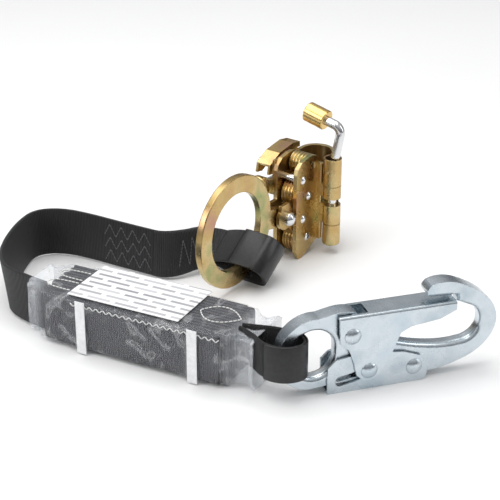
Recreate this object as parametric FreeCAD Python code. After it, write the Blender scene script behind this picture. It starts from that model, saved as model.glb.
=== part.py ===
"""Rope grab with ring lever, shock-absorbing lanyard and double-locking snap hook.

Lengths are in millimetres. The part is modelled on a bench frame whose floor is Z = 0 and is then
moved down by ROPE_MID_Z, so that the origin is the middle of the rope channel's axis.
+Z runs along the rope, +X from the ring towards the rope, and -Y is the cover hinge's side.
"""
import FreeCAD, Part
import math
import os

V = FreeCAD.Vector
X_AXIS = V(1, 0, 0)
Y_AXIS = V(0, 1, 0)
Z_AXIS = V(0, 0, 1)

# ---- overall ----
ROPE_MID_Z = 38.0            # height of the origin above the floor
RUN_CLEAR = 0.05             # radial clearance of a running pin
BODY_GAP = 0.3               # least gap between pieces that move apart

# ---- side plates ----
PLATE_LEFT = -37.3           # ring-side edge
PLATE_RIGHT = -10.3          # rope-side edge
PLATE_TOP = 71.5
PLATE_THICK = 3.0
PLATE_GAP = 13.0             # clear space between the two plates
PLATE_INNER = PLATE_GAP / 2
PLATE_OUTER = PLATE_INNER + PLATE_THICK

# ---- pins across the plates, as (x, z) ----
TOP_RIVET = (-29.5, 56.9)
STOP_RIVET = (-29.0, 28.4)
MIDDLE_AXLE = (-22.6, 43.5)
TOP_AXLE = (-18.0, 64.0)
CAM_PIVOT = (-24.0, 13.5)
PIN_R = 2.5
PIN_HEAD_R = 3.1
PIN_HEAD_HEIGHT = 1.5

# ---- ribbed rollers and the cam ----
MIDDLE_ROLLER_R = 12.0
TOP_ROLLER_R = 7.4
ROLLER_HALF = 6.1            # half of a roller's width
RIB_COUNT = 5
RIB_DEPTH = 1.3
CAM_DISC_R = 10.4
CAM_DISC_SHIFT = 3.2         # the disc's centre off the pivot: this makes it a cam
CAM_DISC_ANGLE = -60.0
CAM_ARM_HALF = 3.4
CLEVIS_R = 8.2
CLEVIS_CHEEK = 2.6

# ---- ring lever ----
RING_X = -95.0
RING_Z = 42.0
RING_HOLE_R = 26.3
RING_R = 38.0
RING_THICK = 5.0
RING_BOLT = (-44.5, 34.0)
RING_BOLT_R = 3.0
NECK_HALF = 8.0

# ---- rope cover and its hinge ----
ROPE_R = 8.0
CHANNEL_R = 10.0
COVER_THICK = 2.5
COVER_BOTTOM = 9.0
COVER_TOP = 67.0
COVER_FLANGE_X = -6.2        # the rope-side face of the cover's latch flange
COVER_FLANGE_Y = 23.0
BARREL_X = -11.0
BARREL_Y = -20.5
BARREL_R = 6.1
HINGE_PIN_R = 3.0
KNUCKLE_GAP = 0.35
KNUCKLES = (                 # bottom, top, owner
    (6.5, 22.3, "cover"),
    (22.3, 36.3, "plate"),
    (41.0, 50.3, "plate"),
    (50.3, 70.0, "cover"),
)

# ---- gravity lever ----
ROD_R = 3.15
ROD_SWING_PIN_Z = 61.0
ROD_LEAN = 11.0
ROD_UP = 32.0                # pivot to bend
ROD_ACROSS = 12.0            # bend to weight
ROD_BEND_R = 5.5
ROD_DROP = 13.0              # the across run's slope towards the bend
WEIGHT_R = 6.8
WEIGHT_LENGTH = 15.5
MOUTH_R = 5.2                # bore that the rod stands in
MOUTH_DEPTH = 13.0
SWING_PIN_R = 1.1

# ---- latch on the far plate ----
LATCH_PIVOT = (-31.0, 63.0)
LATCH_Y_IN = 12.6
LATCH_Y_OUT = 23.6
LATCH_SHEET = 1.6
BRACKET_RIGHT = -26.4        # clear of the middle axle's head
PLUNGER_Y = 18.0
PLUNGER_Z = 50.0
PLUNGER_R = 2.6
KNOB_R = 8.0
KNOB_WIDTH = 4.0

# ---- webbing ----
WEB_THICK = 2.6
WEB_WIDTH = 34.0
WEB_Z = 1.0                  # lower edge of the strap that stands on edge
LOOP_WIDTH = 26.0            # the webbing is drawn together where it goes through the ring and the eye
LOOP_THICK = 2.0
HOOK_LOOP_Z = 14.8
HOOK_LOOP_WIDTH = 22.6
SLEEVE_THICK = 1.0
STRAP_ROUTE = (
    (-112.0, 52.0), (-115.0, 78.0), (-117.0, 103.0), (-121.0, 125.0), (-134.0, 139.0),
    (-153.0, 134.0), (-175.0, 122.0), (-196.0, 108.0), (-209.0, 90.0), (-208.1, 59.3),
)
RING_LOOP_ANGLE = -55.0      # place of the loop round the ring
RING_LOOP_IN = RING_HOLE_R - 4.7   # radii, from the ring's centre, of the loop's inner faces
RING_LOOP_OUT = RING_R + 0.6
RING_LOOP_NEAR = 7.0         # where the near bend starts, from the ring's mid-plane
RING_LOOP_FAR = 6.0
RING_LOOP_CLOSE = 24.0       # where the two layers meet

# ---- shock pack, in its own frame: x along it from the strap end, y away from its front ----
PACK_LENGTH = 136.0
PACK_TURN = -81.2
PACK_AHEAD = V(math.cos(math.radians(PACK_TURN)), math.sin(math.radians(PACK_TURN)), 0)
PACK_START = V(-199.203, 62.2, 0)    # middle of the end that the strap goes into
PACK_PLACE = PACK_START + PACK_AHEAD * (PACK_LENGTH / 2)
PACK_WIDTH = 46.0
PACK_HEIGHT = 35.0
PACK_CORNER_R = 12.0
PACK_LIFT = 0.8
WRAP_THICK = 0.6
OUTER_WEB_LENGTH = PACK_LENGTH - 32.0
LABEL_LENGTH = 76.0
LABEL_WIDTH = 42.0
LABEL_THICK = 0.4
BAND_WIDTH = 6.5

# ---- snap hook, in its own frame: x from the lever's tail to the nose, y away from the viewer ----
HOOK_PLACE = PACK_START + PACK_AHEAD * PACK_LENGTH + V(12.596, -43.799, 0)
HOOK_TURN = -37.0
HOOK_HALF = 5.0
HOOK_ROUNDING = 3.2          # the forging's rounded edges
EYE_LOW = (-7.5, 23.8)
EYE_HIGH = (-7.5, 28.8)
EYE_HOLE_R = 12.6
BOWL_CENTRE = (83.5, 32.5)   # where the anchor ring's bar sits
BOWL_R = 11.5
GATE_RIVET = (14.0, 37.0)
LOCK_RIVET = (24.7, 13.0)
LEVER_RIVET = (53.5, 9.8)
LEVER_INNER = 5.4
LEVER_SHEET = 1.5
GATE_INNER = 7.3
GATE_SHEET = 1.6
GATE_OPEN = 22.0
LEVER_SQUEEZE = 3.0
HOOK_RIVET_R = 2.2
HOOK_HEAD_R = 5.0
SLOT_HALF = 3.2              # half the height of the slot that the lock rivet runs in
SLOT_EXTRA = 7.0             # how far the slot goes on past the rivet's travel

PIECES = {}


# ======================= general helpers =======================

def add(name, shape):
    """Keeps one finished piece under its node name, moved into the part's frame."""
    moved = shape.copy()
    moved.translate(V(0, 0, -ROPE_MID_Z))
    PIECES[name] = moved


def fused(shapes):
    result = shapes[0]
    for shape in shapes[1:]:
        result = result.fuse(shape)
    return result.removeSplitter()


def box(x0, x1, y0, y1, z0, z1):
    return Part.makeBox(x1 - x0, y1 - y0, z1 - z0, V(x0, y0, z0))


def rod(start, end, radius):
    run = end - start
    return Part.makeCylinder(radius, run.Length, start, run)


def pin_y(place, radius, y0, y1):
    """A round bar along Y through (x, z)."""
    return Part.makeCylinder(radius, y1 - y0, V(place[0], y0, place[1]), Y_AXIS)


def pin_z(x, y, radius, z0, z1):
    return Part.makeCylinder(radius, z1 - z0, V(x, y, z0), Z_AXIS)


def plate_xz(points, y0, y1):
    """A flat plate whose outline is given as (x, z) corners."""
    corners = [V(x, y0, z) for x, z in points]
    wire = Part.makePolygon(corners + corners[:1])
    return Part.Face(wire).extrude(V(0, y1 - y0, 0))


def outline_edges(runs, y):
    """A chain of (x, z) runs: two points make a line, more make a spline."""
    edges = []
    for run in runs:
        corners = [V(x, y, z) for x, z in run]
        if len(corners) == 2:
            edges.append(Part.makeLine(corners[0], corners[1]))
        else:
            curve = Part.BSplineCurve()
            curve.interpolate(corners)
            edges.append(curve.toShape())
    return edges


def capsule_xz(a, b, radius, y0, y1):
    """A bar with round ends between two (x, z) points."""
    start = V(a[0], y0, a[1])
    end = V(b[0], y0, b[1])
    along = (end - start).normalize()
    side = along.cross(Y_AXIS) * radius
    height = V(0, y1 - y0, 0)
    corners = [start + side, end + side, end - side, start - side]
    middle = Part.Face(Part.makePolygon(corners + corners[:1])).extrude(height)
    return fused([middle, pin_y(a, radius, y0, y1), pin_y(b, radius, y0, y1)])


def dome(place, radius, height, y, outward):
    """A domed rivet head standing on the plane Y = y; outward is +1 or -1."""
    ball_r = (radius * radius + height * height) / (2 * height)
    centre = V(place[0], y - outward * (ball_r - height), place[1])
    ball = Part.makeSphere(ball_r, centre)
    low, high = sorted((y, y + outward * height))
    return ball.common(pin_y(place, radius * 1.2, low, high))


def headed_pin(place, radius, head_r, head_height, y_in, y_out):
    """A rivet: shank from y_in to y_out with a domed head at each end."""
    shank = pin_y(place, radius, y_in, y_out)
    near = dome(place, head_r, head_height, y_in, -1)
    far = dome(place, head_r, head_height, y_out, 1)
    return fused([shank, near, far])


def placed(shape, place, turn):
    copy = shape.copy()
    copy.rotate(V(0, 0, 0), Z_AXIS, turn)
    copy.translate(place)
    return copy


def filleted(shape, radius, edges):
    """The shape with these edges rounded, or None where that can't be made."""
    try:
        result = shape.makeFillet(radius, edges)
    except Part.OCCError:
        return None
    if result.isValid() and 0.5 * shape.Volume < result.Volume < 1.2 * shape.Volume:
        return result
    return None


def softened(shape, radius, pick, label="edges"):
    """Rounds the edges that pick accepts, leaving out any that can't be rounded, and says how many it left."""
    wanted = sorted((edge for edge in shape.Edges if pick(edge)), key=lambda edge: -edge.Length)
    whole = filleted(shape, radius, wanted)
    if whole is not None:
        return whole
    best = shape
    kept = []
    for edge in wanted:
        trial = filleted(shape, radius, kept + [edge])
        if trial is not None:
            best = trial
            kept.append(edge)
    print(label, "left sharp:", len(wanted) - len(kept), "of", len(wanted))
    return best


def bend_radii(points):
    """Radius of the arc at each inner point: 0.45 of the shorter run over tan(half turn)."""
    radii = []
    for before, at, after in zip(points, points[1:], points[2:]):
        run_in = at - before
        run_out = after - at
        half_turn = run_in.getAngle(run_out) / 2
        radii.append(0.45 * min(run_in.Length, run_out.Length) / math.tan(half_turn))
    return radii


def tape_side(points, radii, offset):
    """One side of a plan route, offset to its left: lines and arcs in turn."""
    edges = []
    here = None
    last = len(points) - 1
    for index, at in enumerate(points):
        if index < last:
            run_out = (points[index + 1] - at).normalize()
            left_out = Z_AXIS.cross(run_out) * offset
        if index > 0:
            run_in = (at - points[index - 1]).normalize()
            left_in = Z_AXIS.cross(run_in) * offset
        if index == 0:
            here = at + left_out
        elif index == last:
            edges.append(Part.makeLine(here, at + left_in))
        else:
            radius = radii[index - 1]
            half = run_in.getAngle(run_out) / 2
            back = radius * math.tan(half)
            start = at - run_in * back + left_in
            end = at + run_out * back + left_out
            inward = (run_out - run_in).normalize()
            centre = at + inward * (radius / math.cos(half))
            middle = centre + (at - centre).normalize() * (start - centre).Length
            edges.append(Part.makeLine(here, start))
            edges.append(Part.Arc(start, middle, end).toShape())
            here = end
    return edges


def tape(route, thickness, z0, z1, label, shift=0.0, span=None):
    """Webbing standing on edge along a plan route: straight runs joined by tangent arcs.

    shift moves it to the route's left, and span keeps only some of the lines and arcs.
    """
    points = [V(x, y, z0) for x, y in route]
    radii = bend_radii(points)
    left = tape_side(points, radii, shift + thickness / 2)
    right = tape_side(points, radii, shift - thickness / 2)
    if span is not None:
        left = left[span[0]:span[1]]
        right = right[span[0]:span[1]]
    caps = [
        Part.makeLine(left[0].Vertexes[0].Point, right[0].Vertexes[0].Point),
        Part.makeLine(left[-1].Vertexes[-1].Point, right[-1].Vertexes[-1].Point),
    ]
    wire = Part.Wire(Part.__sortEdges__(left + right + caps))
    web = Part.Face(wire).extrude(V(0, 0, z1 - z0))
    middle_line = sum(edge.Length for edge in tape_side(points, radii, 0.0))
    share = web.Volume / (thickness * (z1 - z0) * middle_line)
    print(label, "length", round(middle_line, 1), "bend radii", [round(r, 1) for r in radii],
          "volume over section times length", round(share, 3))
    return web


def tape_section(centre, along, width_dir, width, thickness):
    """A closed rectangle across a length of webbing."""
    across = along.cross(width_dir).normalize() * (thickness / 2)
    half = width_dir.normalize() * (width / 2)
    corners = [centre + half + across, centre - half + across, centre - half - across, centre + half - across]
    return Part.makePolygon(corners + corners[:1])


# ======================= rope grab frame =======================

def side_plate_outline():
    return [
        (PLATE_LEFT, 6.0), (PLATE_LEFT + 3.0, 0.0), (PLATE_LEFT + 7.0, 0.0), (PLATE_RIGHT, 8.5),
        (PLATE_RIGHT, PLATE_TOP - 6.0), (PLATE_RIGHT - 3.0, PLATE_TOP - 1.6), (PLATE_RIGHT - 8.0, PLATE_TOP),
        (PLATE_LEFT + 14.0, PLATE_TOP), (PLATE_LEFT + 6.0, PLATE_TOP - 1.5), (PLATE_LEFT + 1.5, PLATE_TOP - 5.0),
        (PLATE_LEFT, PLATE_TOP - 9.0),
    ]


def pin_holes(y0, y1):
    holes = [pin_y(place, PIN_R, y0, y1) for place in (TOP_RIVET, STOP_RIVET, MIDDLE_AXLE, TOP_AXLE, CAM_PIVOT)]
    return Part.makeCompound(holes)


def barrel_tube(z0, z1, bore_r):
    low = z0 + KNUCKLE_GAP / 2
    high = z1 - KNUCKLE_GAP / 2
    tube = pin_z(BARREL_X, BARREL_Y, BARREL_R, low, high)
    return tube.cut(pin_z(BARREL_X, BARREL_Y, bore_r, low - 1, high + 1))


def make_side_plates():
    near = plate_xz(side_plate_outline(), -PLATE_OUTER, -PLATE_INNER)
    flange_x0 = PLATE_RIGHT - PLATE_THICK
    flange = box(flange_x0, PLATE_RIGHT, -PLATE_OUTER - 3.6, -PLATE_INNER, 8.5, PLATE_TOP - 7.0)
    flange = softened(flange, 1.2, lambda e: abs(e.CenterOfMass.y + PLATE_OUTER + 3.6) < 0.01)
    parts = [near, flange]
    for low, high, owner in KNUCKLES:
        if owner != "plate":
            continue
        z0 = low + KNUCKLE_GAP / 2
        z1 = high - KNUCKLE_GAP / 2
        tab_y0 = BARREL_Y + HINGE_PIN_R
        parts.append(box(flange_x0, PLATE_RIGHT, tab_y0, -PLATE_OUTER - 3.0, z0, z1))
        tube = pin_z(BARREL_X, BARREL_Y, BARREL_R, z0, z1)
        parts.append(tube)
    near = fused(parts)
    near = near.cut(pin_z(BARREL_X, BARREL_Y, HINGE_PIN_R, 0, PLATE_TOP))
    near = near.cut(pin_holes(-PLATE_OUTER - 1, -PLATE_INNER + 1))
    add("side_plate_near", near)
    far = plate_xz(side_plate_outline(), PLATE_INNER, PLATE_OUTER)
    far = far.cut(pin_holes(PLATE_INNER - 1, PLATE_OUTER + 1))
    add("side_plate_far", far)


def make_pins():
    rivets = [
        headed_pin(place, PIN_R, PIN_HEAD_R, PIN_HEAD_HEIGHT, -PLATE_OUTER, PLATE_OUTER)
        for place in (TOP_RIVET, STOP_RIVET)
    ]
    add("plate_rivets", Part.makeCompound(rivets))
    add("middle_roller_axle",
        headed_pin(MIDDLE_AXLE, PIN_R, PIN_HEAD_R, PIN_HEAD_HEIGHT, -PLATE_OUTER, PLATE_OUTER))
    add("top_roller_axle", pin_y(TOP_AXLE, PIN_R, -PLATE_OUTER, PLATE_OUTER))
    hollow = headed_pin(CAM_PIVOT, PIN_R, PIN_HEAD_R, 0.9, -PLATE_OUTER, PLATE_OUTER)
    hollow = hollow.cut(pin_y(CAM_PIVOT, 1.2, -PLATE_OUTER - 3, PLATE_OUTER + 3))
    add("cam_pivot_pin", hollow)
    add("hinge_pin", pin_z(BARREL_X, BARREL_Y, HINGE_PIN_R, 8.0, 55.0))


def ribbed_wheel(place, radius, half):
    """A wheel with V-shaped ribs round it."""
    pitch = 2 * half / RIB_COUNT
    profile = [V(0, -half, 0)]
    for index in range(RIB_COUNT):
        left = -half + index * pitch
        profile.append(V(radius - RIB_DEPTH, left, 0))
        profile.append(V(radius, left + pitch * 0.35, 0))
        profile.append(V(radius, left + pitch * 0.65, 0))
    profile.append(V(radius - RIB_DEPTH, half, 0))
    profile.append(V(0, half, 0))
    face = Part.Face(Part.makePolygon(profile + profile[:1]))
    wheel = face.revolve(V(0, 0, 0), Y_AXIS, 360)
    wheel.translate(V(place[0], 0, place[1]))
    return wheel


def make_rollers():
    for name, place, radius in (("middle_roller", MIDDLE_AXLE, MIDDLE_ROLLER_R),
                                ("top_roller", TOP_AXLE, TOP_ROLLER_R)):
        wheel = ribbed_wheel(place, radius, ROLLER_HALF)
        wheel = wheel.cut(pin_y(place, PIN_R + RUN_CLEAR, -ROLLER_HALF - 1, ROLLER_HALF + 1))
        add(name, wheel)


# ======================= cam and ring lever =======================

def make_cam():
    angle = math.radians(CAM_DISC_ANGLE)
    centre = (CAM_PIVOT[0] + CAM_DISC_SHIFT * math.cos(angle), CAM_PIVOT[1] + CAM_DISC_SHIFT * math.sin(angle))
    disc = ribbed_wheel(centre, CAM_DISC_R, ROLLER_HALF)
    arm = capsule_xz(CAM_PIVOT, RING_BOLT, CAM_ARM_HALF, -ROLLER_HALF, ROLLER_HALF)
    clevis = pin_y(RING_BOLT, CLEVIS_R, -ROLLER_HALF, ROLLER_HALF)
    corner = RING_BOLT[0] + CLEVIS_R * 0.9
    cap = plate_xz([(RING_BOLT[0] - 6.0, RING_BOLT[1] + 4.0), (RING_BOLT[0] - 5.0, RING_BOLT[1] + 10.0),
                    (RING_BOLT[0] + 3.0, RING_BOLT[1] + 10.0), (corner, RING_BOLT[1] + 3.0)],
                   -ROLLER_HALF, ROLLER_HALF)
    cam = fused([disc, arm, clevis, cap])
    slot_half = ROLLER_HALF - CLEVIS_CHEEK
    slot_end = RING_BOLT[0] + CLEVIS_R + 1.2
    slot = box(RING_BOLT[0] - 20, slot_end, -slot_half, slot_half, RING_BOLT[1] - 12, RING_BOLT[1] + 14)
    cam = cam.cut(slot)
    cam = cam.cut(pin_y(CAM_PIVOT, PIN_R + RUN_CLEAR, -10, 10))
    cam = cam.cut(pin_y(RING_BOLT, RING_BOLT_R, -10, 10))
    add("cam", cam)


def make_ring_lever():
    outer = pin_y((RING_X, RING_Z), RING_R, -RING_THICK / 2, RING_THICK / 2)
    neck_start = (RING_X + RING_R - 8.0, RING_Z - 4.0)
    neck = capsule_xz(neck_start, RING_BOLT, NECK_HALF - 1.2, -RING_THICK / 2, RING_THICK / 2)
    ring = fused([outer, neck])
    ring = ring.cut(pin_y((RING_X, RING_Z), RING_HOLE_R, -RING_THICK, RING_THICK))
    ring = ring.cut(pin_y(RING_BOLT, RING_BOLT_R, -RING_THICK, RING_THICK))
    on_face = RING_THICK / 2 - 0.01
    ring = softened(ring, 0.8, lambda e: abs(e.CenterOfMass.y) > on_face and e.Length > 40)
    add("ring_lever", ring)


def make_ring_bolt():
    near = -ROLLER_HALF
    far = ROLLER_HALF
    dome_base = pin_y(RING_BOLT, 4.8, near - 4.0, near)
    top = dome(RING_BOLT, 4.8, 2.8, near - 4.0, -1)
    bolt = fused([pin_y(RING_BOLT, RING_BOLT_R, near - 1.0, far + 6.5), dome_base, top])
    add("ring_bolt", bolt)
    washers = []
    for index, radius in enumerate((6.6, 5.6, 6.2)):
        y0 = far + index * 1.25
        washer = pin_y(RING_BOLT, radius, y0, y0 + 1.1)
        washers.append(washer.cut(pin_y(RING_BOLT, RING_BOLT_R, y0 - 1, y0 + 2)))
    add("ring_bolt_washers", Part.makeCompound(washers))
    nut_y = far + 3.75
    corners = [(RING_BOLT[0] + 5.2 * math.cos(math.radians(60 * k)),
                RING_BOLT[1] + 5.2 * math.sin(math.radians(60 * k))) for k in range(6)]
    nut = plate_xz(corners, nut_y, nut_y + 2.6)
    add("ring_bolt_nut", nut.cut(pin_y(RING_BOLT, RING_BOLT_R, nut_y - 1, nut_y + 4)))


# ======================= rope cover =======================

def cover_sheet():
    """The cover seen from above: latch flange, round rope channel and the slope to the barrel."""
    outer_r = CHANNEL_R + COVER_THICK
    slope = math.radians(40)
    outer_in = V(outer_r * math.cos(slope), -outer_r * math.sin(slope), 0)
    inner_in = V(CHANNEL_R * math.cos(slope), -CHANNEL_R * math.sin(slope), 0)
    wall_x = COVER_FLANGE_X
    barrel_out = V(BARREL_X + BARREL_R * math.cos(slope), BARREL_Y - BARREL_R * math.sin(slope) + 0.8, 0)
    run = (barrel_out - outer_in).normalize()
    inner_side = V(-run.y, run.x, 0)
    if inner_side.x > 0:
        inner_side = inner_side * -1
    barrel_in = barrel_out + inner_side * COVER_THICK
    edges = [
        Part.makeLine(V(wall_x, COVER_FLANGE_Y, 0), V(wall_x + COVER_THICK, COVER_FLANGE_Y, 0)),
        Part.makeLine(V(wall_x + COVER_THICK, COVER_FLANGE_Y, 0), V(wall_x + COVER_THICK, outer_r, 0)),
        Part.makeLine(V(wall_x + COVER_THICK, outer_r, 0), V(0, outer_r, 0)),
        Part.Arc(V(0, outer_r, 0), V(outer_r, 0, 0), outer_in).toShape(),
        Part.makeLine(outer_in, barrel_out),
        Part.makeLine(barrel_out, barrel_in),
        Part.makeLine(barrel_in, inner_in),
        Part.Arc(inner_in, V(CHANNEL_R, 0, 0), V(0, CHANNEL_R, 0)).toShape(),
        Part.makeLine(V(0, CHANNEL_R, 0), V(wall_x, CHANNEL_R, 0)),
        Part.makeLine(V(wall_x, CHANNEL_R, 0), V(wall_x, COVER_FLANGE_Y, 0)),
    ]
    sheet = Part.Face(Part.Wire(edges)).extrude(V(0, 0, COVER_TOP - COVER_BOTTOM))
    sheet.translate(V(0, 0, COVER_BOTTOM))
    return sheet


def make_cover():
    sheet = cover_sheet()
    for low, high, owner in KNUCKLES:
        if owner == "plate":
            sheet = sheet.cut(pin_z(BARREL_X, BARREL_Y, BARREL_R + BODY_GAP + 0.2,
                                    low - KNUCKLE_GAP, high + KNUCKLE_GAP))
    sheet = sheet.cut(pin_z(BARREL_X, BARREL_Y, BARREL_R + BODY_GAP + 0.2, 36.0, 41.3))
    parts = [sheet]
    for low, high, owner in KNUCKLES:
        if owner == "cover":
            parts.append(pin_z(BARREL_X, BARREL_Y, BARREL_R, low + KNUCKLE_GAP / 2, high - KNUCKLE_GAP / 2))
    cover = fused(parts)
    cover = cover.cut(pin_z(BARREL_X, BARREL_Y, HINGE_PIN_R + RUN_CLEAR, 0, 55.2))
    mouth = pin_z(BARREL_X, BARREL_Y, MOUTH_R, 70.0 - MOUTH_DEPTH, 80)
    cover = cover.cut(mouth)
    swing_hole = Part.makeCylinder(SWING_PIN_R, 30, V(BARREL_X - 15, BARREL_Y, ROD_SWING_PIN_Z), X_AXIS)
    cover = cover.cut(swing_hole)
    foot = 6.5 + KNUCKLE_GAP / 2
    cover = softened(cover, 1.6, lambda e: abs(e.BoundBox.ZMax - foot) < 0.01 and abs(e.Length - 38.3) < 0.5)
    add("rope_cover", cover)


def make_gravity_lever():
    pivot = V(BARREL_X, BARREL_Y, ROD_SWING_PIN_Z)
    lean = math.radians(ROD_LEAN)
    up = V(0, -math.sin(lean), math.cos(lean))
    slope = math.radians(ROD_DROP)
    across = V(0, math.cos(slope), math.sin(slope))
    foot = pivot - up * 2.6
    bend = pivot + up * ROD_UP
    tip = bend + across * (ROD_ACROSS + WEIGHT_LENGTH * 0.9)
    half = up.getAngle(across) / 2
    back = ROD_BEND_R * math.tan(half)
    start = bend - up * back
    end = bend + across * back
    inward = (across - up).normalize()
    centre = bend + inward * (ROD_BEND_R / math.cos(half))
    middle = centre + (bend - centre).normalize() * ROD_BEND_R
    wire = Part.Wire([
        Part.makeLine(foot, start),
        Part.Arc(start, middle, end).toShape(),
        Part.makeLine(end, tip),
    ])
    section = Part.Wire([Part.makeCircle(ROD_R, foot, up)])
    bar = wire.makePipeShell([section], True, True)
    bar = bar.cut(Part.makeCylinder(SWING_PIN_R + RUN_CLEAR, 20, V(BARREL_X - 10, BARREL_Y, ROD_SWING_PIN_Z), X_AXIS))
    add("gravity_lever_rod", bar)
    weight_start = bend + across * ROD_ACROSS
    weight = Part.makeCylinder(WEIGHT_R, WEIGHT_LENGTH, weight_start, across)
    weight = softened(weight, 0.8, lambda e: e.Length > 30)
    weight = weight.cut(rod(weight_start - across, tip, ROD_R))
    add("gravity_weight", weight)
    add("gravity_lever_pin",
        Part.makeCylinder(SWING_PIN_R, 2 * BARREL_R - 1.0, V(BARREL_X - BARREL_R + 0.5, BARREL_Y, ROD_SWING_PIN_Z), X_AXIS))


# ======================= latch =======================

def make_latch():
    inner = PLATE_OUTER
    back = box(PLATE_LEFT + 1.0, BRACKET_RIGHT, inner, inner + LATCH_SHEET, 44.0, 69.0)
    lug = box(PLATE_LEFT + 1.0, PLATE_LEFT + 1.0 + LATCH_SHEET, inner, LATCH_Y_OUT + 1.0, 44.0, 54.5)
    bracket = fused([back, lug])
    bracket = bracket.cut(Part.makeCylinder(PLUNGER_R + RUN_CLEAR, 10, V(PLATE_LEFT - 4, PLUNGER_Y, PLUNGER_Z), X_AXIS))
    bracket = bracket.cut(pin_y(LATCH_PIVOT, 2.0, inner - 1, inner + 4))
    bracket = bracket.cut(pin_y(TOP_RIVET, PIN_HEAD_R + 0.5, inner - 1, inner + 4))
    add("latch_bracket", bracket)
    add("latch_pivot_pin", fused([
        pin_y(LATCH_PIVOT, 2.0, inner, LATCH_Y_OUT + 0.6),
        pin_y(LATCH_PIVOT, 3.2, LATCH_Y_OUT + 0.4, LATCH_Y_OUT + 1.6),
    ]))
    cheek = [(-38.5, 58.5), (-33.0, 57.5), (-24.0, 61.8), (-9.0, 67.6), (-1.4, 67.6), (-1.4, 71.0),
             (-10.0, 72.6), (-26.0, 70.4), (-37.0, 65.0)]
    cheek_in = plate_xz(cheek, LATCH_Y_IN, LATCH_Y_IN + LATCH_SHEET)
    cheek_out = plate_xz(cheek, LATCH_Y_OUT - LATCH_SHEET, LATCH_Y_OUT)
    top = plate_xz([(-37.0, 65.0), (-26.0, 70.4), (-10.0, 72.6), (-10.0, 71.0), (-25.6, 68.8), (-36.6, 63.4)], LATCH_Y_IN, LATCH_Y_OUT)
    hook_nose = box(-3.0, -1.4, LATCH_Y_IN, LATCH_Y_OUT, COVER_TOP + 0.4, 71.0)
    nose_top = box(-10.4, -1.4, LATCH_Y_IN, LATCH_Y_OUT, 69.4, 71.0)
    lever = fused([cheek_in, cheek_out, top, hook_nose, nose_top])
    lever = lever.cut(pin_y(LATCH_PIVOT, 2.0 + RUN_CLEAR, LATCH_Y_IN - 1, LATCH_Y_OUT + 1))
    add("latch_lever", lever)
    start = PLATE_LEFT - 7.5
    plunger = Part.makeCylinder(PLUNGER_R, 22.0, V(start, PLUNGER_Y, PLUNGER_Z), X_AXIS)
    add("latch_plunger", plunger)
    knob = Part.makeCylinder(KNOB_R, KNOB_WIDTH, V(start, PLUNGER_Y, PLUNGER_Z), X_AXIS)
    knob = softened(knob, 1.0, lambda e: e.Length > 40)
    add("latch_knob", knob.cut(Part.makeCylinder(PLUNGER_R, 8, V(start - 1, PLUNGER_Y, PLUNGER_Z), X_AXIS)))
    wire_r = 0.5
    coils = []
    x = start + KNOB_WIDTH + BODY_GAP + wire_r
    while x + wire_r <= PLATE_LEFT + 1.0:
        coils.append(Part.makeTorus(PLUNGER_R + 1.4, wire_r, V(x, PLUNGER_Y, PLUNGER_Z), X_AXIS))
        x += 2 * wire_r
    add("plunger_spring", Part.makeCompound(coils))


# ======================= lanyard =======================

def make_strap():
    strap = tape(STRAP_ROUTE, WEB_THICK, WEB_Z, WEB_Z + WEB_WIDTH, "strap")
    add("strap_web", strap)


def ring_loop_frame():
    angle = math.radians(RING_LOOP_ANGLE)
    out = V(math.cos(angle), 0, math.sin(angle))
    along_limb = V(-math.sin(angle), 0, math.cos(angle))
    return V(RING_X, 0, RING_Z), out, along_limb


def loop_band(inner_low, inner_high, near, far, close, offset, thick, width, full):
    """Webbing round the ring: a U in the plane across the limb, closing on the far side."""
    centre, out, width_dir = ring_loop_frame()
    low = inner_low - offset
    high = inner_high + offset
    mid = (low + high) / 2
    radius = (high - low) / 2

    def at(r, y):
        return centre + out * r + Y_AXIS * y

    def outline(extra):
        r_low = low - extra
        r_high = high + extra
        rad = radius + extra
        edges = [
            Part.makeLine(at(r_high, far), at(r_high, -near)),
            Part.Arc(at(r_high, -near), at(mid, -near - rad), at(r_low, -near)).toShape(),
            Part.makeLine(at(r_low, -near), at(r_low, far)),
        ]
        if full:
            edges.insert(0, Part.makeLine(at(mid + offset + extra + 0.1, close), at(r_high, far)))
            edges.append(Part.makeLine(at(r_low, far), at(mid - offset - extra - 0.1, close)))
        return edges

    inner = outline(0.0)
    outer = outline(thick)
    first = Part.makeLine(outer[0].Vertexes[0].Point, inner[0].Vertexes[0].Point)
    last = Part.makeLine(inner[-1].Vertexes[-1].Point, outer[-1].Vertexes[-1].Point)
    wire = Part.Wire(Part.__sortEdges__(outer + inner + [first, last]))
    face = Part.Face(wire)
    band = face.extrude(width_dir * width)
    band.translate(width_dir * (-width / 2))
    return band


def make_ring_loop():
    web = loop_band(RING_LOOP_IN, RING_LOOP_OUT, RING_LOOP_NEAR, RING_LOOP_FAR, RING_LOOP_CLOSE, 0.0,
                    LOOP_THICK, LOOP_WIDTH, True)
    add("ring_loop_web", web)
    sleeve = loop_band(RING_LOOP_IN, RING_LOOP_OUT, RING_LOOP_NEAR, 3.0, RING_LOOP_CLOSE, LOOP_THICK,
                       SLEEVE_THICK, LOOP_WIDTH, False)
    add("ring_loop_sleeve", sleeve)


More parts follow.
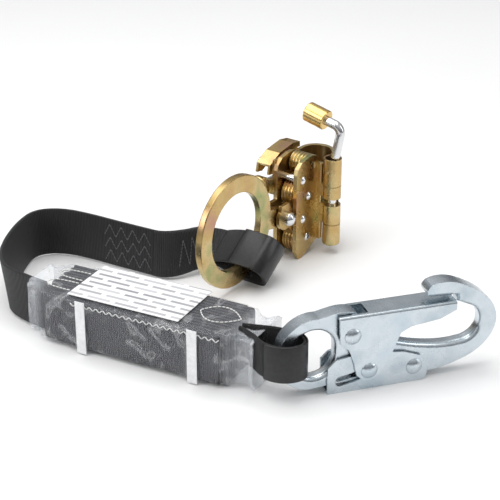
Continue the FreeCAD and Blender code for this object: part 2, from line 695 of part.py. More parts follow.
def make_splice():
    """The two layers stitched together, turning from the loop's tilt to standing on edge."""
    centre, out, width_dir = ring_loop_frame()
    middle = (RING_LOOP_IN + RING_LOOP_OUT) / 2
    start = centre + out * middle + Y_AXIS * RING_LOOP_CLOSE
    end = V(STRAP_ROUTE[0][0], STRAP_ROUTE[0][1], WEB_Z + WEB_WIDTH / 2)
    end_dir = (V(STRAP_ROUTE[1][0], STRAP_ROUTE[1][1], 0) - V(STRAP_ROUTE[0][0], STRAP_ROUTE[0][1], 0)).normalize()
    reach = (end - start).Length
    sections = []
    steps = 6
    for step in range(steps + 1):
        t = step / steps
        a = 2 * t ** 3 - 3 * t ** 2 + 1
        b = t ** 3 - 2 * t ** 2 + t
        c = -2 * t ** 3 + 3 * t ** 2
        d = t ** 3 - t ** 2
        place = start * a + Y_AXIS * (reach * b) + end * c + end_dir * (reach * d)
        heading = (start * (6 * t * t - 6 * t) + Y_AXIS * (reach * (3 * t * t - 4 * t + 1))
                   + end * (6 * t - 6 * t * t) + end_dir * (reach * (3 * t * t - 2 * t)))
        heading.normalize()
        width_now = width_dir * (1 - c) + Z_AXIS * c
        width_now = width_now - heading * width_now.dot(heading)
        width = LOOP_WIDTH + (WEB_WIDTH - LOOP_WIDTH) * c
        thick = 4.0 + (2 * WEB_THICK - 4.0) * c
        sections.append(tape_section(place, heading, width_now, width, thick))
    splice = Part.makeLoft(sections, True, True)
    add("strap_splice", splice)


def pack_place(shape):
    return placed(shape, PACK_PLACE, PACK_TURN)


def rounded_block(length, width, z0, z1, corner):
    block = box(-length / 2, length / 2, -width / 2, width / 2, z0, z1)
    return softened(block, corner, lambda e: abs(abs(e.CenterOfMass.x) - length / 2) < 0.01
                    and abs(abs(e.CenterOfMass.y) - width / 2) < 0.01)


def make_pack():
    low = PACK_LIFT
    high = PACK_LIFT + PACK_HEIGHT
    half = PACK_LENGTH / 2
    half_w = PACK_WIDTH / 2
    core = rounded_block(PACK_LENGTH - 1.0, PACK_WIDTH - 2 * WEB_THICK, low, high, PACK_CORNER_R)
    add("pack_folded_web", pack_place(core))
    legs = []
    for side, shift in ((-1, 8.0), (1, 4.0)):
        y = side * (half_w - WEB_THICK / 2)
        leg = box(shift - OUTER_WEB_LENGTH / 2, shift + OUTER_WEB_LENGTH / 2, y - WEB_THICK / 2, y + WEB_THICK / 2,
                  low, high)
        legs.append(leg)
    add("pack_outer_web", pack_place(Part.makeCompound(legs)))
    outer = rounded_block(PACK_LENGTH + 2.4, PACK_WIDTH + 2.4, 0.0, high + 0.8, PACK_CORNER_R + 1)
    inner = rounded_block(PACK_LENGTH + 1.2, PACK_WIDTH + 1.2, 0.0 + WRAP_THICK, high + 0.8 - WRAP_THICK,
                          PACK_CORNER_R + 0.5)
    wrap = outer.cut(inner)
    wrap = wrap.cut(box(-half - 5, -half + 5, -18.0, 10.0, 0.7, high + 0.1))
    wrap = wrap.cut(box(half - 5, half + 5, -18.0, 10.0, 0.7, high + 0.1))
    loop_notch = box(half - 2.0, half + 5, -18.0, 10.0, 0.7, high + 5)   # the loop stands above the pack here
    wrap = wrap.cut(loop_notch)
    add("pack_wrap", pack_place(wrap))
    top = high + 0.8
    label = box(-44.0, -44.0 + LABEL_LENGTH, -20.0, -20.0 + LABEL_WIDTH, top, top + LABEL_THICK)
    add("pack_label", pack_place(label))
    bands = []
    for x in (-36.0, 40.0):
        y = -half_w - 1.2
        bands.append(box(x, x + BAND_WIDTH, y - 0.5, y, 1.0, high))
    add("pack_bands", pack_place(Part.makeCompound(bands)))


PACK_END = PACK_LENGTH / 2
HOOK_LOOP_ROUTE = (          # plan route round the hook's eye and back, in the pack's frame
    (PACK_END - 1.5, -9.0), (PACK_END + 8.0, -12.0), (PACK_END + 19.0, -21.0), (PACK_END + 33.0, -21.0),
    (PACK_END + 42.0, -10.5), (PACK_END + 34.0, -1.0), (PACK_END + 19.0, 0.2), (PACK_END + 8.0, -3.0),
    (PACK_END - 1.5, -5.5),
)
HOOK_SLEEVE_SPAN = (4, 11)   # the lines and arcs of that route that the sleeve covers


def make_hook_loop():
    z0 = HOOK_LOOP_Z
    z1 = z0 + HOOK_LOOP_WIDTH
    web = tape(HOOK_LOOP_ROUTE, LOOP_THICK, z0, z1, "hook loop")
    add("hook_loop_web", pack_place(web))
    outward = (LOOP_THICK + SLEEVE_THICK) / 2
    sleeve = tape(HOOK_LOOP_ROUTE, SLEEVE_THICK, z0, z1, "hook sleeve", -outward, HOOK_SLEEVE_SPAN)
    add("hook_loop_sleeve", pack_place(sleeve))


# ======================= snap hook =======================

def hook_place(shape):
    return placed(shape, HOOK_PLACE, HOOK_TURN)


def bowl_point(angle):
    turn = math.radians(angle)
    return (BOWL_CENTRE[0] + BOWL_R * math.cos(turn), BOWL_CENTRE[1] + BOWL_R * math.sin(turn))


def hook_body():
    low = bowl_point(-90)
    side = bowl_point(-16)
    high = bowl_point(58)
    outer_runs = [
        [(-5.0, 49.2), (-17.0, 46.8), (-26.0, 38.5), (-29.5, 26.5), (-26.0, 13.0), (-18.0, 6.2), (-8.0, 4.4)],
        [(-8.0, 4.4), (0.0, 5.2), (20.0, 5.4), (45.0, 5.0), (63.0, 4.4), (82.0, 8.0), (97.5, 16.5), (105.0, 30.0), (101.0, 44.6),
         (87.3, 55.6), (72.0, 61.2), (63.0, 60.0)],
        [(63.0, 60.0), (60.5, 56.5), (63.0, 52.0)],
        [(63.0, 52.0), (79.5, 51.0)],
        [(79.5, 51.0), (79.9, 46.8)],
        [(79.9, 46.8), high],
    ]
    inner_runs = [
        [low, (73.0, 20.6), (60.0, 22.4), (44.0, 26.8), (33.0, 31.6), (27.0, 36.5)],
        [(27.0, 36.5), (21.5, 43.0), (17.5, 49.5)],
        [(17.5, 49.5), (12.0, 51.3), (4.0, 51.0), (-5.0, 49.2)],
    ]
    start = -HOOK_HALF
    bowl = Part.Arc(V(high[0], start, high[1]), V(side[0], start, side[1]),
                    V(low[0], start, low[1])).toShape()
    edges = outline_edges(outer_runs, start) + [bowl] + outline_edges(inner_runs, start)
    body = Part.Face(Part.Wire(edges)).extrude(V(0, 2 * HOOK_HALF, 0))
    on_face = HOOK_HALF - 0.01
    body = softened(body, HOOK_ROUNDING, lambda e: abs(e.CenterOfMass.y) > on_face, "hook body")
    body = body.cut(capsule_xz(EYE_LOW, EYE_HIGH, EYE_HOLE_R, -HOOK_HALF - 1, HOOK_HALF + 1))

    def round_the_hole(edge):
        near = math.hypot(edge.CenterOfMass.x - EYE_LOW[0], edge.CenterOfMass.z - EYE_LOW[1]) < 14.0
        return near and abs(edge.CenterOfMass.y) > on_face

    return softened(body, HOOK_ROUNDING, round_the_hole, "hook eye")


def about(point, centre, clockwise):
    """A point (x, z) turned clockwise about another, seen with +X right and +Z up."""
    angle = math.radians(clockwise)
    dx = point[0] - centre[0]
    dz = point[1] - centre[1]
    return (centre[0] + dx * math.cos(angle) + dz * math.sin(angle),
            centre[1] - dx * math.sin(angle) + dz * math.cos(angle))


def lock_rivet_path(in_lever):
    """Where the gate's lock rivet goes as the gate opens: in the body, or in the lever's own plate."""
    path = []
    steps = 8
    for step in range(steps + 1):
        share = step / steps
        place = about(LOCK_RIVET, GATE_RIVET, GATE_OPEN * share)
        if in_lever:
            place = about(place, LEVER_RIVET, -LEVER_SQUEEZE * share)
        path.append(place)
    path.append((path[-1][0] - SLOT_EXTRA, path[-1][1] - 1.2))
    return path


def swept_slot(path, radius, y0, y1):
    pieces = []
    for a, b in zip(path, path[1:]):
        pieces.append(capsule_xz(a, b, radius, y0, y1))
    return fused(pieces)


def make_hook_body():
    body = hook_body()
    body = body.cut(swept_slot(lock_rivet_path(False), SLOT_HALF, -8, 8))
    for place in (GATE_RIVET, LEVER_RIVET):
        body = body.cut(pin_y(place, HOOK_RIVET_R, -8, 8))
    add("hook_body", hook_place(body))


def make_gate():
    outer = GATE_INNER + GATE_SHEET
    outline = [(6.0, 49.6), (77.6, 49.6), (77.6, 44.5), (67.5, 40.0), (50.0, 38.0), (43.5, 35.0), (37.5, 20.0),
               (31.5, 9.0), (26.5, 6.2), (21.5, 6.6), (17.0, 11.0), (15.0, 20.0), (12.0, 28.0), (6.5, 33.0)]
    block = plate_xz(outline, -outer, outer)
    top_edge = 49.6
    block = softened(block, 1.6, lambda e: abs(e.CenterOfMass.z - top_edge) < 0.01 and e.Length > 40)
    inside = plate_xz([(0.0, 47.8), (90.0, 47.8), (90.0, -5.0), (0.0, -5.0)], -GATE_INNER, GATE_INNER)
    gate = block.cut(inside)
    web_slot = box(0.0, 24.0, -HOOK_HALF - 0.7, HOOK_HALF + 0.7, 40.0, 60.0)
    gate = gate.cut(web_slot)
    gate = gate.cut(pin_y(GATE_RIVET, HOOK_RIVET_R + RUN_CLEAR, -12, 12))
    gate = gate.cut(pin_y(LOCK_RIVET, HOOK_RIVET_R, -12, 12))
    add("hook_gate", hook_place(gate))


def make_lock_lever():
    outer = LEVER_INNER + LEVER_SHEET
    outline = [(0.0, 0.0), (59.0, 0.0), (61.5, 2.0), (62.0, 8.0), (57.5, 16.5), (47.0, 20.5), (37.0, 22.0), (25.0, 21.6),
               (13.0, 23.0), (5.0, 21.6), (0.0, 17.0)]
    block = plate_xz(outline, -outer, outer)
    inside = box(-5.0, 70.0, -LEVER_INNER, LEVER_INNER, 1.6, 40.0)
    lever = block.cut(inside)
    lever = lever.cut(swept_slot(lock_rivet_path(True), SLOT_HALF, -10, 10))
    lever = lever.cut(pin_y(LEVER_RIVET, HOOK_RIVET_R + RUN_CLEAR, -10, 10))
    add("hook_lock_lever", hook_place(lever))


def make_hook_rivets():
    gate_outer = GATE_INNER + GATE_SHEET
    lever_outer = LEVER_INNER + LEVER_SHEET
    add("hook_gate_rivet", hook_place(
        headed_pin(GATE_RIVET, HOOK_RIVET_R, HOOK_HEAD_R, 2.0, -gate_outer - 0.1, gate_outer + 0.1)))
    add("hook_lock_rivet", hook_place(
        headed_pin(LOCK_RIVET, HOOK_RIVET_R, HOOK_HEAD_R, 2.0, -gate_outer, gate_outer)))
    add("hook_lever_rivet", hook_place(
        headed_pin(LEVER_RIVET, HOOK_RIVET_R, HOOK_HEAD_R, 2.0, -lever_outer - 0.1, lever_outer + 0.1)))


def make_hook_springs():
    coil = Part.makeTorus(3.4, 0.6, V(GATE_RIVET[0], HOOK_HALF + 1.2, GATE_RIVET[1]), Y_AXIS)
    leg = rod(V(GATE_RIVET[0] + 3.2, HOOK_HALF + 1.2, GATE_RIVET[1]),
              V(GATE_RIVET[0] + 20.0, HOOK_HALF + 1.2, GATE_RIVET[1] + 6.0), 0.55)
    add("gate_spring", hook_place(fused([coil, leg])))
    leaf = box(36.0, 52.0, -3.5, 3.5, 1.65, 2.1)
    add("lock_lever_spring", hook_place(leaf))


# ======================= build =======================

def main():
    make_side_plates()
    make_pins()
    make_rollers()
    make_cam()
    make_ring_lever()
    make_ring_bolt()
    make_cover()
    make_gravity_lever()
    make_latch()
    make_strap()
    make_ring_loop()
    make_splice()
    make_pack()
    make_hook_loop()
    make_hook_body()
    make_gate()
    make_lock_lever()
    make_hook_rivets()
    make_hook_springs()
    os.makedirs("parts", exist_ok=True)
    for name, shape in PIECES.items():
        if not shape.isValid():
            print("NOT VALID", name)
        shape.exportStep(os.path.join("parts", name + ".step"))
    print(len(PIECES), "nodes written")


main()
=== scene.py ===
import math
import bpy
from mathutils import Vector, Matrix


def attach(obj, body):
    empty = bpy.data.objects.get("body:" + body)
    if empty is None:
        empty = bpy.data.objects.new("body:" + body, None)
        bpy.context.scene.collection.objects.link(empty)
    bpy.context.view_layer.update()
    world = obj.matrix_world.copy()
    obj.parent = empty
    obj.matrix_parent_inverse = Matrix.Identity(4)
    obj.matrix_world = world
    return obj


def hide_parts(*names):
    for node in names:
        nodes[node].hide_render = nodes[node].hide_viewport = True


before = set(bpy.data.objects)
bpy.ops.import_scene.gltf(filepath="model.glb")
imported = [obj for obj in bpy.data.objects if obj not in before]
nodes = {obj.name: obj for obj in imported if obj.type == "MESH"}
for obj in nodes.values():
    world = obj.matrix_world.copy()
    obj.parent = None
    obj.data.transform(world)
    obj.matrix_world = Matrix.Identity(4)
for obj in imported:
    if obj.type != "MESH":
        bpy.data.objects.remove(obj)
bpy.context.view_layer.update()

# Places and sizes are millimetres on a bench whose floor is z = 0. Metres are used for values ending in
# _METRES, and in the materials and the lights.
MM = 0.001
ROPE_MID_Z = 38.0
UP = Vector((0, 0, 1))

WEB_WIDTH = 34.0
WEB_THICK = 2.6
WEB_MID_Z = 18.0
LOOP_WIDTH = 26.0
LOOP_THICK = 2.0
SLEEVE_THICK = 1.0
STRAP_ROUTE = (
    (-112.0, 52.0), (-115.0, 78.0), (-117.0, 103.0), (-121.0, 125.0), (-134.0, 139.0),
    (-153.0, 134.0), (-175.0, 122.0), (-196.0, 108.0), (-209.0, 90.0), (-208.1, 59.3),
)
STRAP_LEAN = 0.17            # largest lean from upright, between the far bend and the pack
STRAP_LEAN_START = 0.40      # shares of the strap's length
STRAP_LEAN_RUN = 0.55
STRAP_STITCH_ROWS = ((-13.5, -5.0), (-4.0, 4.0), (5.0, 13.5))
SPLICE_THICK = 4.4
SPLICE_START_Y = 23.0
SPLICE_STITCH_HALF = 9.0

RING_CENTRE = Vector((-95.0, 0.0, 42.0))
RING_LOOP_ANGLE = math.radians(-55.0)
RING_OUT = Vector((math.cos(RING_LOOP_ANGLE), 0, math.sin(RING_LOOP_ANGLE)))
RING_LIMB = Vector((-math.sin(RING_LOOP_ANGLE), 0, math.cos(RING_LOOP_ANGLE)))
RING_LOOP_ROUTE = (          # distance from the ring's centre, and Y
    (31.2, 24.0), (39.6, 9.0), (39.6, -6.0), (39.2, -15.0), (30.1, -18.4),
    (21.0, -15.0), (20.6, -6.0), (20.6, 9.0), (29.0, 24.0),
)

PACK_PLACE = Vector((-188.8, -5.0, 0))
PACK_TURN = math.radians(-81.2)
PACK_MID_Z = 18.3
HOOK_LOOP_ROUTE = (
    (66.5, -9.0), (76.0, -12.0), (87.0, -21.0), (101.0, -21.0), (110.0, -10.5),
    (102.0, -1.0), (87.0, 0.2), (76.0, -3.0), (66.5, -5.5),
)
HOOK_LOOP_MID_Z = 26.1
HOOK_LOOP_WIDTH = 22.6
FOLD_LAYERS = 12
FOLD_HALF = 63.0
FOLD_PITCH = 3.1
FOLD_WIDTH = 34.0
FOLD_THICK = 2.5
OUTER_LAYERS = (             # name, first and last x along the pack, and y
    ("front", -44.0, 60.0, -20.9), ("front_step", -60.0, -45.0, -19.8), ("back", -48.0, 56.0, 20.9),
)
OUTER_WIDTH = 31.0
OUTER_THICK = 2.0
WRAP_SECTIONS = (            # x along the pack, half width, half height of the clear wrap
    (-77.0, 15.0, 17.7), (-73.0, 13.6, 17.3), (-69.0, 17.5, 17.4), (-64.0, 22.2, 17.7), (-55.0, 23.7, 17.9),
    (-15.0, 23.9, 18.0), (20.0, 23.9, 18.0), (55.0, 23.7, 17.9), (63.0, 22.0, 17.7), (69.0, 17.2, 17.0),
    (73.0, 15.4, 16.4), (80.0, 19.6, 17.6),
)
WRAP_AROUND = 72             # points round the wrap, and steps along it
WRAP_STATIONS = 110
WRAP_SQUARENESS = 2 / 7      # power of the rounded box section
WRAP_MEAN_HALF = 24.0
WRAP_THICK = 0.35
TAIL_START = 60.0            # distance from the pack's middle where the wrap's loose ends begin
TAIL_RUN = 14.0

BAND_ROUND_STEPS = 4
THREAD_SIDES = 6
THREAD_RADIUS = 0.34
EDGE_THREAD_RADIUS = 0.36
TOP_THREAD_RADIUS = 0.42
STITCH_LENGTH = 2.4
STITCH_GAP = 0.08            # share of a stitch left open at each end
EDGE_STITCHES = 44
EDGE_STITCH_START = -41.0
EDGE_STITCH_PITCH = 2.3
EDGE_STITCH_LENGTH = 2.1
EDGE_STITCH_LOW = 30.6
EDGE_STITCH_RISE = 2.0
PACK_FRONT_Y = -22.2
PACK_TOP_Z = 35.9

FLOOR_SIZE_METRES = 8.0
VIEW_TARGET_METRES = (-0.0915, -0.0101, -0.008)
CAMERA_PLACE_METRES = (-0.784, -0.510, 0.408)
CAMERA_LENS = 106.0
CAMERA_SENSOR = 36.0
SKY_STRENGTH = 0.66


def to_frame(point):
    return Vector((point[0], point[1], point[2] - ROPE_MID_Z)) * MM


def pack_point(x, y, z):
    turned = Matrix.Rotation(PACK_TURN, 3, "Z") @ Vector((x, y, 0))
    return Vector((turned.x + PACK_PLACE.x, turned.y + PACK_PLACE.y, z))


def clamp_share(value):
    return min(max(value, 0.0), 1.0)


def ease(share):
    """Smooth step from 0 to 1."""
    return share * share * (3 - 2 * share)


def line_length(line):
    return sum((b - a).length for a, b in zip(line, line[1:]))


# ---------------------------------------------------------------- materials

def new_material(name):
    mat = bpy.data.materials.new(name)
    mat.use_nodes = True
    shader = mat.node_tree.nodes["Principled BSDF"]
    return mat, mat.node_tree.nodes, mat.node_tree.links, shader


def ramp(tree_nodes, stops):
    node = tree_nodes.new("ShaderNodeValToRGB")
    elements = node.color_ramp.elements
    while len(elements) < len(stops):
        elements.new(0.5)
    for element, (place, colour) in zip(elements, stops):
        element.position = place
        element.color = (*colour, 1)
    return node


def noise(tree_nodes, links, source, scale, detail=4.0):
    node = tree_nodes.new("ShaderNodeTexNoise")
    node.inputs["Scale"].default_value = scale
    node.inputs["Detail"].default_value = detail
    links.new(source, node.inputs["Vector"])
    return node


def colour_from(tree, links, shader, source, stops):
    """Base colour by a colour ramp."""
    colours = ramp(tree, stops)
    links.new(source, colours.inputs["Fac"])
    links.new(colours.outputs["Color"], shader.inputs["Base Color"])


def relief_from(tree, links, shader, source, strength, distance):
    """Bump with its depth in metres."""
    relief = tree.new("ShaderNodeBump")
    relief.inputs["Strength"].default_value = strength
    relief.inputs["Distance"].default_value = distance
    links.new(source, relief.inputs["Height"])
    links.new(relief.outputs["Normal"], shader.inputs["Normal"])
    return relief


def metal(name, stops, colour_scale, rough_low, rough_high, bump, bevel=0.0004):
    """Plated metal: patchy colour, uneven roughness, fine surface grain and eased edges."""
    mat, tree, links, shader = new_material(name)
    coords = tree.new("ShaderNodeTexCoord").outputs["Object"]
    patches = noise(tree, links, coords, colour_scale, 3.0)
    colour_from(tree, links, shader, patches.outputs["Fac"], stops)
    smears = noise(tree, links, coords, colour_scale * 3.1, 6.0)
    rough = tree.new("ShaderNodeMapRange")
    rough.inputs["To Min"].default_value = rough_low
    rough.inputs["To Max"].default_value = rough_high
    links.new(smears.outputs["Fac"], rough.inputs["Value"])
    links.new(rough.outputs["Result"], shader.inputs["Roughness"])
    grain = noise(tree, links, coords, 2600.0, 2.0)
    edge = tree.new("ShaderNodeBevel")
    edge.inputs["Radius"].default_value = bevel
    relief = relief_from(tree, links, shader, grain.outputs["Fac"], bump, 0.0001)
    links.new(edge.outputs["Normal"], relief.inputs["Normal"])
    shader.inputs["Metallic"].default_value = 1.0
    return mat


def woven(name, dark, light, rib_mm, strength, rough):
    """Ribbed webbing. U is the length along it and V the place across it, in metres."""
    mat, tree, links, shader = new_material(name)
    coords = tree.new("ShaderNodeTexCoord")
    split = tree.new("ShaderNodeSeparateXYZ")
    links.new(coords.outputs["UV"], split.inputs["Vector"])

    def wave(source, pitch_mm):
        scaled = tree.new("ShaderNodeMath")
        scaled.operation = "MULTIPLY"
        scaled.inputs[1].default_value = 2 * math.pi / (pitch_mm * MM)
        links.new(source, scaled.inputs[0])
        sine = tree.new("ShaderNodeMath")
        sine.operation = "SINE"
        links.new(scaled.outputs[0], sine.inputs[0])
        return sine.outputs[0]

    across = tree.new("ShaderNodeMath")
    across.operation = "MULTIPLY_ADD"
    across.inputs[1].default_value = 0.35
    links.new(wave(split.outputs["Y"], rib_mm * 0.7), across.inputs[0])
    links.new(wave(split.outputs["X"], rib_mm), across.inputs[2])
    fuzz = noise(tree, links, coords.outputs["Object"], 900.0, 3.0)
    height = tree.new("ShaderNodeMath")
    height.operation = "ADD"
    links.new(across.outputs[0], height.inputs[0])
    links.new(fuzz.outputs["Fac"], height.inputs[1])
    shade = tree.new("ShaderNodeMapRange")
    shade.inputs["From Min"].default_value = -1.0
    shade.inputs["From Max"].default_value = 2.2
    links.new(height.outputs[0], shade.inputs["Value"])
    colour_from(tree, links, shader, shade.outputs["Result"], ((0.0, dark), (1.0, light)))
    relief_from(tree, links, shader, height.outputs[0], strength, 0.0003)
    shader.inputs["Roughness"].default_value = rough
    shader.inputs["Sheen Weight"].default_value = 0.04
    return mat


def plain(name, dark, light, scale, rough, bump):
    """Plain stuff such as thread, sleeve or tape: two close shades with matching relief."""
    mat, tree, links, shader = new_material(name)
    coords = tree.new("ShaderNodeTexCoord").outputs["Object"]
    spots = noise(tree, links, coords, scale)
    colour_from(tree, links, shader, spots.outputs["Fac"], ((0.3, dark), (0.7, light)))
    relief_from(tree, links, shader, spots.outputs["Fac"], bump, 0.0004)
    shader.inputs["Roughness"].default_value = rough
    return mat


def clear_film():
    """Clear wrap: nearly invisible where it lies flat, with painted highlights that make it paler in streaks
    at its folds and on its loose ends and rounded corners.
    """
    mat, tree, links, shader = new_material("clear film")
    coords = tree.new("ShaderNodeTexCoord").outputs["Object"]
    folds = noise(tree, links, coords, 46.0, 2.0)
    folds.inputs["Distortion"].default_value = 2.2
    relief_from(tree, links, shader, folds.outputs["Fac"], 0.6, 0.004)
    tint = ((0.35, (0.80, 0.84, 0.90)), (0.75, (0.97, 0.98, 1.0)))
    colour_from(tree, links, shader, folds.outputs["Fac"], tint)
    # painted highlight: the film turns paler, more opaque, in streaks along its folds
    highlight_streaks = ramp(tree, (
        (0.0, (0.035, 0.035, 0.035)), (0.56, (0.045, 0.045, 0.045)),
        (0.66, (0.15, 0.15, 0.15)), (0.74, (0.05, 0.05, 0.05)),
    ))
    links.new(folds.outputs["Fac"], highlight_streaks.inputs["Fac"])
    # painted highlight on the loose ends and rounded corners, read from a mesh attribute and added to the
    # alpha
    painted_highlight = tree.new("ShaderNodeAttribute")
    painted_highlight.attribute_name = "painted_highlight"
    alpha_with_highlights = tree.new("ShaderNodeMath")
    alpha_with_highlights.operation = "MULTIPLY_ADD"
    alpha_with_highlights.inputs[1].default_value = 0.20
    links.new(painted_highlight.outputs["Fac"], alpha_with_highlights.inputs[0])
    links.new(highlight_streaks.outputs["Color"], alpha_with_highlights.inputs[2])
    links.new(alpha_with_highlights.outputs[0], shader.inputs["Alpha"])
    shader.inputs["Roughness"].default_value = 0.07
    shader.inputs["Specular IOR Level"].default_value = 1.0
    return mat


def printed_label():
    """White label with plain grey bars in place of any words."""
    mat, tree, links, shader = new_material("printed label")
    coords = tree.new("ShaderNodeTexCoord").outputs["Object"]
    turn = tree.new("ShaderNodeMapping")
    turn.inputs["Rotation"].default_value = (0, 0, -PACK_TURN)
    links.new(coords, turn.inputs["Vector"])
    bars = tree.new("ShaderNodeTexBrick")
    bars.inputs["Scale"].default_value = 1.0
    bars.inputs["Brick Width"].default_value = 0.019
    bars.inputs["Row Height"].default_value = 0.0056
    bars.inputs["Mortar Size"].default_value = 0.0018
    bars.inputs["Color1"].default_value = (0.30, 0.30, 0.32, 1)
    bars.inputs["Color2"].default_value = (0.62, 0.62, 0.64, 1)
    bars.inputs["Mortar"].default_value = (0.86, 0.86, 0.87, 1)
    links.new(turn.outputs["Vector"], bars.inputs["Vector"])
    links.new(bars.outputs["Color"], shader.inputs["Base Color"])
    creases = noise(tree, links, coords, 70.0)
    relief_from(tree, links, shader, creases.outputs["Fac"], 0.4, 0.001)
    shader.inputs["Roughness"].default_value = 0.35
    return mat


YELLOW_STOPS = (             # red-brown, ochre, straw, olive and pink tints
    (0.28, (0.50, 0.28, 0.20)), (0.42, (0.53, 0.37, 0.15)), (0.55, (0.60, 0.46, 0.23)),
    (0.68, (0.34, 0.37, 0.16)), (0.80, (0.60, 0.38, 0.26)),
)
SILVER_STOPS = (
    (0.3, (0.46, 0.53, 0.58)), (0.5, (0.62, 0.68, 0.72)), (0.7, (0.53, 0.61, 0.67)),
)
YELLOW = metal("yellow zinc", YELLOW_STOPS, 38.0, 0.16, 0.42, 0.25)
SILVER = metal("bright zinc", SILVER_STOPS, 45.0, 0.16, 0.36, 0.25)
STEEL = metal("turned steel", ((0.3, (0.66, 0.66, 0.67)), (0.7, (0.80, 0.80, 0.81))), 60.0, 0.10, 0.24, 0.12)
BRASS = metal("brass", ((0.3, (0.66, 0.42, 0.13)), (0.7, (0.80, 0.58, 0.24))), 70.0, 0.15, 0.32, 0.2, 0.0006)
WEBBING = woven("black webbing", (0.002, 0.002, 0.003), (0.016, 0.016, 0.018), 1.25, 0.75, 0.55)
PACK_WEB = woven("dark tear webbing", (0.006, 0.006, 0.008), (0.085, 0.085, 0.10), 1.4, 0.9, 0.5)
SLEEVE = plain("black sleeve", (0.004, 0.004, 0.005), (0.012, 0.012, 0.013), 500.0, 0.34, 0.12)
PALE_THREAD = plain("pale thread", (0.66, 0.66, 0.64), (0.86, 0.86, 0.84), 2200.0, 0.7, 0.4)
GREY_THREAD = plain("grey thread", (0.09, 0.09, 0.093), (0.17, 0.17, 0.175), 2200.0, 0.7, 0.4)
TAPE_WHITE = plain("white band", (0.78, 0.79, 0.80), (0.92, 0.92, 0.93), 300.0, 0.4, 0.2)
FILM = clear_film()
LABEL = printed_label()

CAD_FINISH = {
    "side_plate_near": YELLOW, "side_plate_far": YELLOW, "ring_lever": YELLOW, "cam": YELLOW,
    "middle_roller": YELLOW, "top_roller": YELLOW, "rope_cover": YELLOW, "latch_bracket": YELLOW,
    "latch_lever": YELLOW, "latch_knob": YELLOW,
    "hook_body": SILVER, "hook_gate": SILVER, "hook_lock_lever": SILVER, "hook_gate_rivet": SILVER,
    "hook_lock_rivet": SILVER, "hook_lever_rivet": SILVER,
    "gravity_weight": BRASS, "pack_label": LABEL, "pack_bands": TAPE_WHITE,
}


def paint(obj, mat):
    obj.data.materials.clear()
    obj.data.materials.append(mat)


for node_name, node in nodes.items():
    paint(node, CAD_FINISH.get(node_name, STEEL))


# ---------------------------------------------------------------- soft pieces

def smooth_line(control, step=1.0):
    """Points about one step apart along a quadratic NURBS through these control points, in millimetres."""
    curve = bpy.data.curves.new("guide", "CURVE")
    curve.dimensions = "3D"
    spline = curve.splines.new("NURBS")
    spline.points.add(len(control) - 1)
    for point, place in zip(spline.points, control):
        point.co = (*place, 1)
    spline.order_u = 3
    spline.use_endpoint_u = True
    spline.resolution_u = 24
    holder = bpy.data.objects.new("guide", curve)
    mesh = bpy.data.meshes.new_from_object(holder)
    raw = [v.co.copy() for v in mesh.vertices]
    bpy.data.meshes.remove(mesh)
    bpy.data.objects.remove(holder)
    bpy.data.curves.remove(curve)
    total = line_length(raw)
    count = max(8, round(total / step))
    line = [raw[0]]
    travelled = 0.0
    target = total / count
    for a, b in zip(raw, raw[1:]):
        run = (b - a).length
        while run > 0 and travelled + run >= target - 1e-9 and len(line) < count:
            line.append(a.lerp(b, (target - travelled) / run))
            target += total / count
        travelled += run
    line.append(raw[-1])
    return line


def tangents(line):
    last = len(line) - 1
    return [(line[min(i + 1, last)] - line[max(i - 1, 0)]).normalized() for i in range(last + 1)]


def band_frames(line, width_dir):
    """At each point of the line: the place, the way across the band and the way out of its face."""
    frames = []
    heads = tangents(line)
    for index, (place, head) in enumerate(zip(line, heads)):
        wide = width_dir(index / (len(line) - 1), head)
        wide = (wide - head * wide.dot(head)).normalized()
        frames.append((place, wide, head.cross(wide)))
    return frames


def make_mesh(name, verts, faces, mat, uvs=None):
    mesh = bpy.data.meshes.new(name)
    mesh.from_pydata([to_frame(v) for v in verts], [], faces)
    mesh.update()
    if uvs:
        layer = mesh.uv_layers.new(name="UVMap")
        for loop in mesh.loops:
            layer.data[loop.index].uv = uvs[loop.vertex_index]
    for polygon in mesh.polygons:
        polygon.use_smooth = True
    obj = bpy.data.objects.new(name, mesh)
    bpy.context.scene.collection.objects.link(obj)
    obj.data.materials.append(mat)
    return obj


def band(name, frames, widths, thick, mat):
    """A solid strip of webbing with rounded edges along these frames."""
    ring_size = 2 * (BAND_ROUND_STEPS + 1)
    verts = []
    uvs = []
    travelled = 0.0
    for index, (place, wide, out) in enumerate(frames):
        if index:
            travelled += (place - frames[index - 1][0]).length
        half = (widths(index / (len(frames) - 1)) if callable(widths) else widths) / 2
        radius = thick / 2
        for side in (1, -1):
            for k in range(BAND_ROUND_STEPS + 1):
                angle = math.pi / 2 - math.pi * k / BAND_ROUND_STEPS
                across = side * (half - radius + radius * math.cos(angle))
                through = side * radius * math.sin(angle)
                verts.append(place + wide * across + out * through)
                uvs.append((travelled * MM, across * MM))
    faces = []
    for index in range(len(frames) - 1):
        for k in range(ring_size):
            a = index * ring_size + k
            b = index * ring_size + (k + 1) % ring_size
            faces.append((a, b, b + ring_size, a + ring_size))
    faces.append(tuple(reversed(range(ring_size))))
    faces.append(tuple(range(len(verts) - ring_size, len(verts))))
    obj = make_mesh(name, verts, faces, mat, uvs)
    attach(obj, "lanyard")
    return obj


